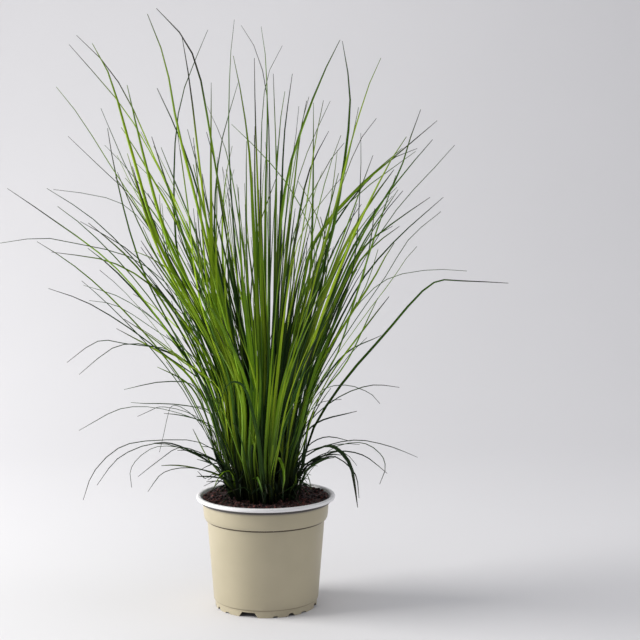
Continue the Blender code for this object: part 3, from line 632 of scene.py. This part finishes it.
def through(points, step):
    """Points about a step apart on a smooth curve through the given points."""
    ends = [2 * points[0] - points[1]] + points + [2 * points[-1] - points[-2]]
    curve = []
    for p0, p1, p2, p3 in zip(ends, ends[1:], ends[2:], ends[3:]):
        t1 = math.sqrt((p1 - p0).length)
        t2 = t1 + math.sqrt((p2 - p1).length)
        t3 = t2 + math.sqrt((p3 - p2).length)
        count = max(1, round((p2 - p1).length / step))
        for i in range(count):
            t = t1 + (t2 - t1) * i / count
            a1 = p0 * ((t1 - t) / t1) + p1 * (t / t1)
            a2 = p1 * ((t2 - t) / (t2 - t1)) + p2 * ((t - t1) / (t2 - t1))
            a3 = p2 * ((t3 - t) / (t3 - t2)) + p3 * ((t - t2) / (t3 - t2))
            b1 = a1 * ((t2 - t) / t2) + a2 * (t / t2)
            b2 = a2 * ((t3 - t) / (t3 - t1)) + a3 * ((t - t1) / (t3 - t1))
            curve.append(b1 * ((t2 - t) / (t2 - t1)) + b2 * ((t - t1) / (t2 - t1)))
    curve.append(points[-1])
    return curve


def blade_route(root, start, below, aside, depth, route):
    """The blade's curve from the top of its sheath, which points away from below, to its tip.

    It first parts from its neighbour by moving aside. Its depth follows the fan, and leaves it for
    the tip's own depth more and more along the blade.
    """
    drawn = [Vector((x * MM, z * MM)) for x, z in route]
    runs = np.cumsum([(b - a).length for a, b in zip([start.xz] + drawn, drawn)])
    leaving = depth - root.y * widening(drawn[-1].y)
    first = from_front_view(*route[0], root.y * widening(route[0][1] * MM))
    parting = min(PARTING, (first - start).length / 2)
    rising = ((start - below).normalized() + (first - start).normalized()).normalized()
    knots = [below, start, start + rising * parting + aside]
    for (x, z), run in zip(route, runs):
        fan_depth = root.y * widening(z * MM)
        knots.append(from_front_view(x, z, fan_depth + leaving * (run / runs[-1]) ** ARCH_POWER))
    curve = through(knots, SAMPLE)
    return curve[curve.index(start):]


def array_of(points):
    return np.array([tuple(point) for point in points])


def room(points, half_width, others):
    """The least space left between a blade and the other growth, which is (points, half width)."""
    least = 1.0
    for other_points, other_half in others:
        apart = np.linalg.norm(points[:, None] - other_points[None], axis=2).min()
        least = min(least, apart - half_width - other_half)
    return least


def settled_blade(root, start, below, aside, blade, others, siblings):
    """The blade's route, brought forward or back until it passes clear of the blades before it."""
    width, _, depth, *route = blade
    best = None
    for attempt in range(DEPTH_TRIES):
        shift = (attempt + 1) // 2 * DEPTH_STEP * (1 if attempt % 2 else -1)
        curve = blade_route(root, start, below, aside, depth * MM + shift, route)
        points = array_of(curve)
        free = room(points, width * MM / 2, others)
        beyond = points[PARTED:]
        free = min(free, room(beyond, width * MM / 2, siblings) + CLEARANCE)
        if best is None or free > best[0]:
            best = (free, curve)
        if free > CLEARANCE:
            break
    return best[1]


def outermost_first(root, top, outward, blades):
    """The blades in the order of how far outwards each one sets off."""
    def setting_off(blade):
        x, z = blade[3]
        first = from_front_view(x, z, root.y * widening(z * MM))
        return (first - fanned(root, top)).normalized().dot(outward)
    return sorted(blades, key=setting_off, reverse=True)


ROOTED = 3.0 * MM
FOOT_POINTS = 4


def grown_tillers():
    """Each tiller's root, outward direction, sheath top and leaves, as (curve, width, twist)."""
    roots = settle([wanted_root(blades) for _, blades in TILLERS])
    sheaths = []
    for (top, _), root in zip(TILLERS, roots):
        steps = max(2, round((top * MM - CROWN_HEIGHT) / SAMPLE))
        points = [fanned(root, CROWN_HEIGHT + (top * MM - CROWN_HEIGHT) * i / steps)
                  for i in range(steps + 1)]
        sheaths.append((array_of(points), SHEATH_WIDTH / 2))
    grown = []
    tillers = []
    for number, ((top, blades), root) in enumerate(zip(TILLERS, roots)):
        height = top * MM
        reach = Vector((0.0, 0.0))
        for _, _, depth, *route in blades:
            reach += Vector((route[-1][0], depth))
        outward = (reach * MM / len(blades) - root).to_3d().normalized()
        blades = outermost_first(root, height, outward, blades)
        others = grown + sheaths[:number] + sheaths[number + 1:]
        leaves = []
        siblings = []
        for layer, blade in enumerate(blades):
            offset = outward * ((len(blades) - 1) / 2 - layer) * LAYER
            aside = outward * ((len(blades) - 1) / 2 - layer) * PARTING_WIDTH
            start = fanned(root, height) + offset
            below = fanned(root, height - SHEATH_STRAIGHT) + offset
            curve = settled_blade(root, start, below, aside, blade, others, siblings)
            siblings.append((array_of(curve)[PARTED:], blade[0] * MM / 2))
            foot_heights = np.linspace(CROWN_HEIGHT - ROOTED, height, FOOT_POINTS + 1)[:-1]
            foot = [fanned(root, z) + offset for z in foot_heights]
            leaves.append((array_of(foot + curve), blade[0] * MM, blade[1]))
        for curve, width, _ in leaves:
            grown.append((curve[FOOT_POINTS:], width / 2))
        tillers.append((root, outward, height, leaves))
    return tillers


# One leaf, drawn up ring by ring: a ring has two edges and a rib between them, above and below.
LEAF_RINGS = 15
start_clear()
bpy.ops.mesh.primitive_circle_add(vertices=4, radius=0.5, fill_type="NGON", calc_uvs=True)
leaf_kind = bpy.context.object
bpy.ops.object.mode_set(mode="EDIT")
bpy.ops.mesh.select_all(action="SELECT")
for _ in range(LEAF_RINGS):
    bpy.ops.mesh.extrude_region_move(TRANSFORM_OT_translate={"value": (0, 0, 1 / LEAF_RINGS)})
bpy.ops.mesh.select_all(action="SELECT")
bpy.ops.mesh.normals_make_consistent(inside=False)
bpy.ops.object.mode_set(mode="OBJECT")
leaf_mesh = leaf_kind.data
if not leaf_mesh.uv_layers:
    leaf_mesh.uv_layers.new(name="UVMap")
leaf_points = array_of([v.co for v in leaf_mesh.vertices])
ring_of = np.rint(leaf_points[:, 2] * LEAF_RINGS).astype(int)
side_of = np.rint(leaf_points[:, 0] / 0.5).astype(int)
upper = leaf_points[:, 1] > 0.25
under = leaf_points[:, 1] < -0.25
corner_of = np.array([loop.vertex_index for loop in leaf_mesh.loops])
across_uv = (side_of[corner_of] + 1) / 2
creases = leaf_mesh.attributes.new("sharp_edge", "BOOLEAN", "EDGE")
creases.data.foreach_set("value", [bool(ring_of[a] != ring_of[b]) for a, b in
                                   (edge.vertices for edge in leaf_mesh.edges)])
leaf_mesh.shade_smooth()

FOLD_IN_SHEATH = math.radians(62)
FOLD_OPEN = math.radians(24)
FOLD_AT_TIP = math.radians(40)
RIB = 0.34 * MM
RIB_AT_TIP = 0.2 * MM
TIP_WIDTH = 0.7 * MM
TAPER_POWER = 3.8
BEND_WEIGHT = 45.0 * MM
BLEND_LENGTH = 0.3
NECK = 24.0 * MM
NECK_START = 0.7
NECK_LIMIT = 0.8
SHEATH_LAP = 1.2


def smooth(low, high, value):
    share = np.clip((value - low) / (high - low), 0, 1)
    return share * share * (3 - 2 * share)


def leaf(curve, sheath_top, width, twist, across, tint, dry, fold=1.0, open_air=0.0,
         taper_power=TAPER_POWER):
    """A copy of the leaf, laid along its curve: folded in its sheath, open above and narrow at the tip."""
    steps = np.linalg.norm(np.diff(curve, axis=0), axis=1)
    run = np.concatenate([[0], np.cumsum(steps)])
    ways = np.diff(curve, axis=0) / steps[:, None]
    turns = np.arccos(np.clip((ways[1:] * ways[:-1]).sum(1), -1, 1))
    weight = np.concatenate([[0], np.cumsum(steps + BEND_WEIGHT * np.concatenate([turns, [0]]))])
    places = np.interp(np.linspace(0, weight[-1], LEAF_RINGS + 1), weight, run)
    middle = np.stack([np.interp(places, run, curve[:, i]) for i in range(3)], axis=1)
    share = places / run[-1]
    ahead = np.stack([np.interp(places + SAMPLE, run, curve[:, i]) for i in range(3)], axis=1)
    behind = np.stack([np.interp(places - SAMPLE, run, curve[:, i]) for i in range(3)], axis=1)
    along = (ahead - behind) / np.linalg.norm(ahead - behind, axis=1)[:, None]
    heading = curve[-1] - curve[0]
    flat = np.array([-heading[1], heading[0], 0.0])
    flat /= max(np.linalg.norm(flat), 1e-6)
    across = np.array(across)
    if flat @ across < 0:
        flat = -flat
    neck_run = min(np.interp(sheath_top, np.maximum.accumulate(curve[:, 2]), run), run[-1] * NECK_LIMIT)
    beyond = np.clip((places - neck_run) / (run[-1] - neck_run), 0, 1)
    mix_in = np.clip(beyond / BLEND_LENGTH, 0, 1)[:, None]
    wide = across * (1 - mix_in) + flat * mix_in
    wide -= along * (wide * along).sum(1)[:, None]
    wide /= np.linalg.norm(wide, axis=1)[:, None]
    angle = np.radians(twist) * beyond[:, None]
    wide = wide * np.cos(angle) + np.cross(along, wide) * np.sin(angle)
    up = np.cross(wide, along)
    up *= np.sign((up[len(up) // 2] @ np.array([0, 0, 1])) or 1)
    open_up = smooth(neck_run * NECK_START, neck_run + NECK, places)
    fold_by = (FOLD_IN_SHEATH * (1 - open_up) + FOLD_OPEN * open_up) * fold
    fold_by = fold_by + (FOLD_AT_TIP - fold_by) * beyond ** 3
    taper = 1 - beyond ** taper_power
    broad = min(SHEATH_WIDTH, width) * SHEATH_LAP * (1 - open_up) + width * open_up
    half = (TIP_WIDTH + (broad - TIP_WIDTH) * taper) / 2
    rib = (RIB_AT_TIP + (RIB - RIB_AT_TIP) * taper) / 2
    made = leaf_mesh.copy()
    side = side_of[:, None]
    centre = middle[ring_of]
    reach = (half * np.cos(fold_by))[ring_of][:, None]
    lift = (half * np.sin(fold_by))[ring_of][:, None]
    thick = rib[ring_of][:, None] * (upper.astype(float) - under)[:, None]
    points = centre + wide[ring_of] * reach * side + up[ring_of] * (lift * np.abs(side) + thick)
    made.vertices.foreach_set("co", points.astype(np.float32).ravel())
    uvs = np.stack([across_uv, share[ring_of[corner_of]]], axis=1)
    made.uv_layers[0].data.foreach_set("uv", uvs.astype(np.float32).ravel())
    # The last attribute says how far the leaf is spared the painted shade in its finish.
    for name, value in (("tint", tint), ("dry", dry), ("sheath", None), ("open_air", open_air)):
        marks = made.attributes.new(name, "FLOAT", "POINT")
        values = (1 - open_up)[ring_of] if value is None else np.full(len(ring_of), value)
        marks.data.foreach_set("value", values.astype(np.float32))
    made.update()
    placed = bpy.data.objects.new("leaf", made)
    bpy.context.collection.objects.link(placed)
    return placed


def drawn_leaf(root, sheath_top, depth, route):
    """A leaf's curve from its tiller's crown through points drawn in the front view."""
    foot = [fanned(root, CROWN_HEIGHT - ROOTED), fanned(root, (CROWN_HEIGHT + sheath_top) / 2)]
    knots = []
    for place, (x, z) in enumerate(route):
        share = (place + 1) / len(route)
        knots.append(from_front_view(x, z, root.y + (depth * MM - root.y) * share))
    return array_of(through(foot + knots, SAMPLE))


def low_leaf(root, angle, reach, rise, droop):
    """A short leaf's curve that leaves the crown sideways, rises and falls over again."""
    start = fanned(root, CROWN_HEIGHT - 2 * MM)
    out = Vector((math.cos(angle), math.sin(angle), 0.0))
    points = []
    for i in range(LEAF_RINGS):
        share = i / (LEAF_RINGS - 1)
        up = rise * math.sin(math.pi * 0.5 * min(1.0, share * 1.5)) - droop * share ** 3
        points.append(start + out * reach * share ** 1.25 + Vector((0, 0, up)))
    return array_of(points)


FEWEST_POINTS = 8


def younger(curve, keep_share, shift, swing, droop):
    """A shorter leaf of the same tiller: moved aside with the fan, and swung off its elder more and more."""
    count = max(FEWEST_POINTS, int(len(curve) * keep_share))
    points = curve[:count].copy()
    rise = np.clip(points[:, 2] - CROWN_HEIGHT, 0, None)
    share = np.linspace(0, 1, count) ** 1.35
    points[:, 0] += shift[0] * (1 + rise / FAN_DEPTH) + swing[0] * share
    points[:, 1] += shift[1] * (1 + rise / FAN_DEPTH) + swing[1] * share
    points[:, 2] -= droop * share ** 1.5
    return points


blade_finish, shader, spot = new_finish("grass_blade", Roughness=0.5, Specular_IOR_Level=0.14)
tint = spot.node("ShaderNodeAttribute", {"attribute_name": "tint"}, None, 2)
dry = spot.node("ShaderNodeAttribute", {"attribute_name": "dry"}, None, 2)
sheath = spot.node("ShaderNodeAttribute", {"attribute_name": "sheath"}, None, 2)
# How far a leaf is spared the painted shade below: most are not, wisps and odd leaves mostly are.
open_air = spot.node("ShaderNodeAttribute", {"attribute_name": "open_air"}, None, 2)
leaf_uv = spot.node("ShaderNodeUVMap")
along = leaf_uv.part(1)
veins = leaf_uv.stretched(34.0, 1.2, 1.0).noise(1.0, 2.0, 0.6)
patches = spot.stretched(1, 1, 0.35).noise(45.0, 3.0)
green = (tint + (patches - 0.5) * 0.5).ramp([
    (0.0, (0.004, 0.022, 0.004)), (0.28, (0.012, 0.056, 0.003)), (0.52, (0.050, 0.130, 0.004)),
    (0.76, (0.165, 0.300, 0.006)), (1.0, (0.310, 0.450, 0.014))])
striped = (veins.rise(0.4, 0.75) * 0.25).blend(green, (0.22, 0.36, 0.03))
height = spot.part(2)
low_down = 1 - height.rise(0.100, 0.150)
# Painted shade low in the clump: leaves darken towards the crown below about 0.2 m, less for bright leaves
# and for wisps and odd leaves.
crowded_base_shade = (1 - height.rise(0.104, 0.215)) * (1 - tint * 0.22) * (1 - open_air)
husk = spot.noise(80.0, 3.0).rise(0.35, 0.65).blend((0.060, 0.050, 0.018), (0.055, 0.028, 0.026))
based = (low_down * sheath.rise(0.2, 0.9) * 0.85).blend(striped, husk)
off_axis = (spot.part(0) ** 2 + spot.part(1) ** 2) ** 0.5
clump_reach = (height - CROWN_HEIGHT) * (CROWN_RADIUS / FAN_DEPTH) + CROWN_RADIUS
# Painted shade inside the clump: leaves near its axis are darkened, fading out between 0.23 and 0.42 m high.
inner_clump_shade = (1 - (off_axis * clump_reach ** -1).rise(0.30, 0.85)) * (1 - height.rise(0.23, 0.42))
shaded = (inner_clump_shade * (1 - open_air) * 0.85).blend(based, (0.003, 0.018, 0.003))
# The painted shade low in the clump is blended in here.
shaded = crowded_base_shade.blend(shaded, (0.006, 0.014, 0.005))
thinning = (along.rise(0.65, 1.0) * 0.5).blend(shaded, (0.010, 0.026, 0.006))
tip = (along + dry * 0.3).rise(1.02, 1.18)
tipped = tip.blend(thinning, (0.022, 0.022, 0.012))
feed(shader, Base_Color=tipped, Roughness=0.46 + veins * 0.16 + tip * 0.2,
     Normal=veins.bump(0.25, 0.0002))

# Odd leaves: number of the tiller, width in mm, tint, depth of the tip in mm, route in the front view.
ODD_LEAVES = [
    (42, 3.4, 0.66, -56, (7, 132), (12, 136), (16, 128), (17, 116), (15, 103)),
    (41, 3.2, 0.74, -42, (-31, 122), (-37, 124), (-44, 117), (-49, 106)),
    (43, 2.4, 0.55, -56, (-12, 116), (-8, 118), (-5, 110), (-2, 102)),
    (40, 2.2, 0.80, -44, (4, 130), (7, 156), (8, 163), (12, 150), (17, 132)),
    (40, 1.8, 0.10, -38, (19, 106), (30, 113), (38, 112), (44, 105)),
    (37, 1.5, 0.40, -22, (37, 122), (40, 116), (42, 107)),
    (1, 1.8, 0.15, -30, (-39, 118), (-50, 121), (-56, 117), (-63, 124)),
    (2, 1.3, 0.20, -50, (-60, 140), (-100, 147), (-117, 137), (-125, 125), (-124, 109)),
    (3, 1.4, 0.12, 0, (-60, 172), (-98, 184), (-105, 181), (-118, 175)),
    (3, 1.3, 0.25, -30, (-66, 175), (-86, 185), (-93, 162), (-98, 142)),
    (11, 1.3, 0.30, 20, (-52, 225), (-95, 330), (-128, 369), (-162, 379), (-192, 383)),
    (36, 1.5, 0.22, -20, (30, 150), (50, 198), (75, 204), (98, 195), (105, 187)),
    (37, 1.4, 0.12, -50, (61, 145), (91, 150), (108, 137), (110, 125), (105, 112)),
]
LOW_ARCH_TOP = 260.0 * MM
LOW_ARCH_SLIM = 0.82
BACK_ROW = 4.0 * MM
LEFT_EDGE = -21.0 * MM
RIGHT_EDGE = 16.0 * MM
DEEP_GREEN = (33, 34)
DEEP_SLIM = 0.75
DEEP_TAPER_POWER = 1.7
FINE_BLADE = 2.5 * MM
YOUNG_LEAVES = 10
YOUNG_ON_ARCH = 3
YOUNG_ON_EDGE = 5
WISPS = 2
WISP_CORE = 10.0 * MM
CROWN_LEAVES = 2
CROWN_HUSKS = 2
FULL_TURN = 2 * math.pi

dice = random.Random(5)


def elder_leaves(leaves, sheath_top, across, low_arch, behind, deep_green):
    """The tiller's leaves in the frame, repeated to the point."""
    made = []
    for curve, width, twist in leaves:
        dull = low_arch or width < FINE_BLADE
        tint = dice.uniform(0.05, 0.30) if dull else dice.uniform(0.62, 1.0)
        # Painted shade: the leaves of tillers in the back row get a darker tint.
        if behind and not low_arch:
            tint *= dice.uniform(0.5, 1.0)
        taper_power = TAPER_POWER
        if deep_green:
            tint = 0.42
            width *= DEEP_SLIM
            taper_power = DEEP_TAPER_POWER
        if low_arch:
            width *= LOW_ARCH_SLIM
        made.append(leaf(curve, sheath_top, width * 1.1, twist * 1.3, across, tint, dice.random(),
                         taper_power=taper_power))
    return made


def young_leaves(count, leaves, sheath_top, across, low_arch, behind):
    """Shorter, finer leaves that stand between the elder ones, some lively green and some dull."""
    made = []
    for turn in range(count):
        elder = leaves[turn % len(leaves)][0]
        angle = dice.uniform(0, FULL_TURN)
        shift = Vector((math.cos(angle), math.sin(angle))) * dice.uniform(0.8, 4.6) * MM
        swing = Vector((dice.gauss(0, 16), dice.gauss(0, 22))) * MM
        # Back-row tillers get fewer lively green leaves: painted shade.
        lively = dice.random() < (0.3 if low_arch else 0.5 if behind else 0.66)
        keep_share = dice.uniform(0.45, 0.93) if lively else dice.uniform(0.35, 0.75)
        if low_arch:
            keep_share = dice.uniform(0.35, 0.7)
            swing *= 0.35
        curve = younger(elder, keep_share, shift, swing, dice.uniform(-4, 10) * MM)
        tint = dice.uniform(0.55, 1.0) if lively else dice.uniform(0.0, 0.42)
        made.append(leaf(curve, sheath_top, dice.uniform(1.8, 3.4) * MM,
                         dice.choice((-1, 1)) * dice.uniform(35, 120), across, tint, dice.random() * 0.8))
    return made


def wisps(root, outward, leaves, sheath_top, across):
    """Hair-thin leaves that cross the clump, swung inwards on the outer tillers."""
    made = []
    for _ in range(WISPS):
        elder = dice.choice(leaves)[0]
        swing = Vector((dice.gauss(0, 46), dice.gauss(-12, 24))) * MM
        if abs(root.x) > WISP_CORE:
            swing.x = math.copysign(swing.x, -root.x)
        curve = younger(elder, dice.uniform(0.3, 0.7), outward.xy * 2 * MM, swing, dice.uniform(0, 60) * MM)
        made.append(leaf(curve, sheath_top, dice.uniform(0.8, 1.4) * MM, 60, across, dice.uniform(0.2, 0.9),
                         dice.random(), open_air=0.7))
    return made


def crown_leaves(root, across):
    """Short leaves that leave the crown sideways, over the mix."""
    made = []
    for _ in range(CROWN_LEAVES):
        angle = math.atan2(root.y, root.x) + dice.gauss(0, 0.5)
        curve = low_leaf(root, angle, dice.uniform(12, 34) * MM, dice.uniform(10, 36) * MM,
                         dice.uniform(0, 16) * MM)
        made.append(leaf(curve, CROWN_HEIGHT + 2 * MM, dice.uniform(1.4, 2.6) * MM,
                         dice.uniform(-60, 60), across, dice.uniform(0.0, 0.45), dice.random()))
    return made


def crown_husks(root, across):
    """Withered sheaths that stay folded round the foot of the tiller."""
    made = []
    for _ in range(CROWN_HUSKS):
        curve = low_leaf(root, dice.uniform(0, FULL_TURN), dice.uniform(4, 14) * MM,
                         dice.uniform(14, 40) * MM, 0.0)
        made.append(leaf(curve, CROWN_HEIGHT + 50 * MM, 2.2 * MM, 20, across, 0.1, 0.9, 0.8))
    return made


def odd_leaves(number, root, across):
    """The tiller's own leaves out of the table of odd ones."""
    made = []
    for owner, width, tint, depth, *route in ODD_LEAVES:
        if owner == number:
            curve = drawn_leaf(root, CROWN_HEIGHT + 16 * MM, depth, route)
            made.append(leaf(curve, CROWN_HEIGHT + 6 * MM, width * MM, 40, across, tint, 0.6,
                             open_air=0.9))
    return made


for number, (root, outward, sheath_top, leaves) in enumerate(grown_tillers(), start=1):
    across = Vector((0, 0, 1)).cross(outward)
    low_arch = leaves[0][0][:, 2].max() < LOW_ARCH_TOP
    # Tillers in the back row get painted shade: darker tints and fewer lively leaves.
    behind = root.y > BACK_ROW
    deep_green = number in DEEP_GREEN
    parts = elder_leaves(leaves, sheath_top, across, low_arch, behind, deep_green)
    young = YOUNG_ON_ARCH if low_arch else YOUNG_LEAVES
    if root.x > RIGHT_EDGE or root.x < LEFT_EDGE:
        young = 0 if deep_green else min(young, YOUNG_ON_EDGE)
    parts += young_leaves(young, leaves, sheath_top, across, low_arch, behind)
    if not low_arch and not deep_green:
        parts += wisps(root, outward, leaves, sheath_top, across)
    if root.length > 0.6 * CROWN_RADIUS:
        parts += crown_leaves(root, across)
    parts += crown_husks(root, across)
    parts += odd_leaves(number, root, across)
    piece = joined(f"tiller_leaves_{number:02d}", parts)
    piece.data.materials.append(blade_finish)
    keep(piece, "root", "grass_blade", f"tiller_{number:02d}")
bpy.data.objects.remove(leaf_kind, do_unlink=True)

# ------------------------------------------------------------ the studio
# A pale paper sweep, one large soft light from the left, a weaker fill from the right and a little
# light from above. The camera stands over a metre off, a little above the pot, with a long lens.

SWEEP_HALF = 2.2
SWEEP_FRONT = -1.6
SWEEP_BACK = 0.75
SWEEP_BEND = 1.5
SWEEP_TOP = 1.0
start_clear()
bpy.ops.mesh.primitive_plane_add(size=1.0)
sweep = bpy.context.object
sweep.name = "paper_sweep"
bpy.ops.object.mode_set(mode="EDIT")
bpy.ops.mesh.select_all(action="SELECT")
bpy.ops.transform.resize(value=(2 * SWEEP_HALF, SWEEP_BACK - SWEEP_FRONT, 1))
bpy.ops.transform.translate(value=(0, (SWEEP_BACK + SWEEP_FRONT) / 2, 0))
bpy.ops.mesh.select_mode(type="EDGE")
bpy.ops.mesh.select_all(action="DESELECT")
bpy.ops.object.mode_set(mode="OBJECT")
for edge in sweep.data.edges:
    edge.select = all(sweep.data.vertices[i].co.y > SWEEP_BACK - MM for i in edge.vertices)
bpy.ops.object.mode_set(mode="EDIT")
bpy.ops.mesh.spin(steps=32, angle=math.radians(-90), center=(0, SWEEP_BACK, SWEEP_BEND), axis=(1, 0, 0))
bpy.ops.mesh.extrude_region_move(TRANSFORM_OT_translate={"value": (0, 0, SWEEP_TOP)})
bpy.ops.object.mode_set(mode="OBJECT")
bpy.ops.object.shade_smooth()
paper, shader, spot = new_finish("sweep_paper", Roughness=0.9, Specular_IOR_Level=0.1)
feed(shader, Base_Color=spot.noise(3.0, 2.0).blend((0.735, 0.73, 0.745), (0.755, 0.75, 0.765)))
sweep.data.materials.append(paper)


def soft_light(name, place, aim, width, height, watts, colour=(1, 1, 1)):
    lamp = bpy.data.lights.new(name, "AREA")
    lamp.shape = "RECTANGLE"
    lamp.size = width
    lamp.size_y = height
    lamp.energy = watts
    lamp.color = colour
    light = bpy.data.objects.new(name, lamp)
    light.location = place
    light.rotation_euler = (Vector(aim) - Vector(place)).to_track_quat("-Z", "Y").to_euler()
    bpy.context.collection.objects.link(light)


soft_light("key", (-1.9, -0.1, 0.85), (0.0, 0.0, 0.25), 1.3, 1.3, 61.0, (1.0, 0.985, 0.96))
soft_light("fill", (1.8, -0.2, 0.6), (0.0, 0.0, 0.2), 1.2, 1.2, 6.0)
soft_light("top", (-0.2, -0.1, 2.2), (0.0, 0.1, 0.0), 2.0, 2.0, 12.0)
world = bpy.data.worlds.new("studio_air")
world.use_nodes = True
world.node_tree.nodes["Background"].inputs["Color"].default_value = (0.93, 0.94, 1.0, 1.0)
world.node_tree.nodes["Background"].inputs["Strength"].default_value = 0.37
bpy.context.scene.world = world
bpy.context.scene.view_settings.view_transform = "Standard"

lens = bpy.data.cameras.new("long_lens")
lens.sensor_width = 36.0
lens.lens = 73.7
lens.clip_start = 0.05
lens.clip_end = 20.0
camera = bpy.data.objects.new("camera", lens)
camera.location = (0.050, -1.195, 0.360)
camera.rotation_euler = (math.radians(90 - 4.58), 0, 0)
bpy.context.collection.objects.link(camera)
bpy.context.scene.camera = camera
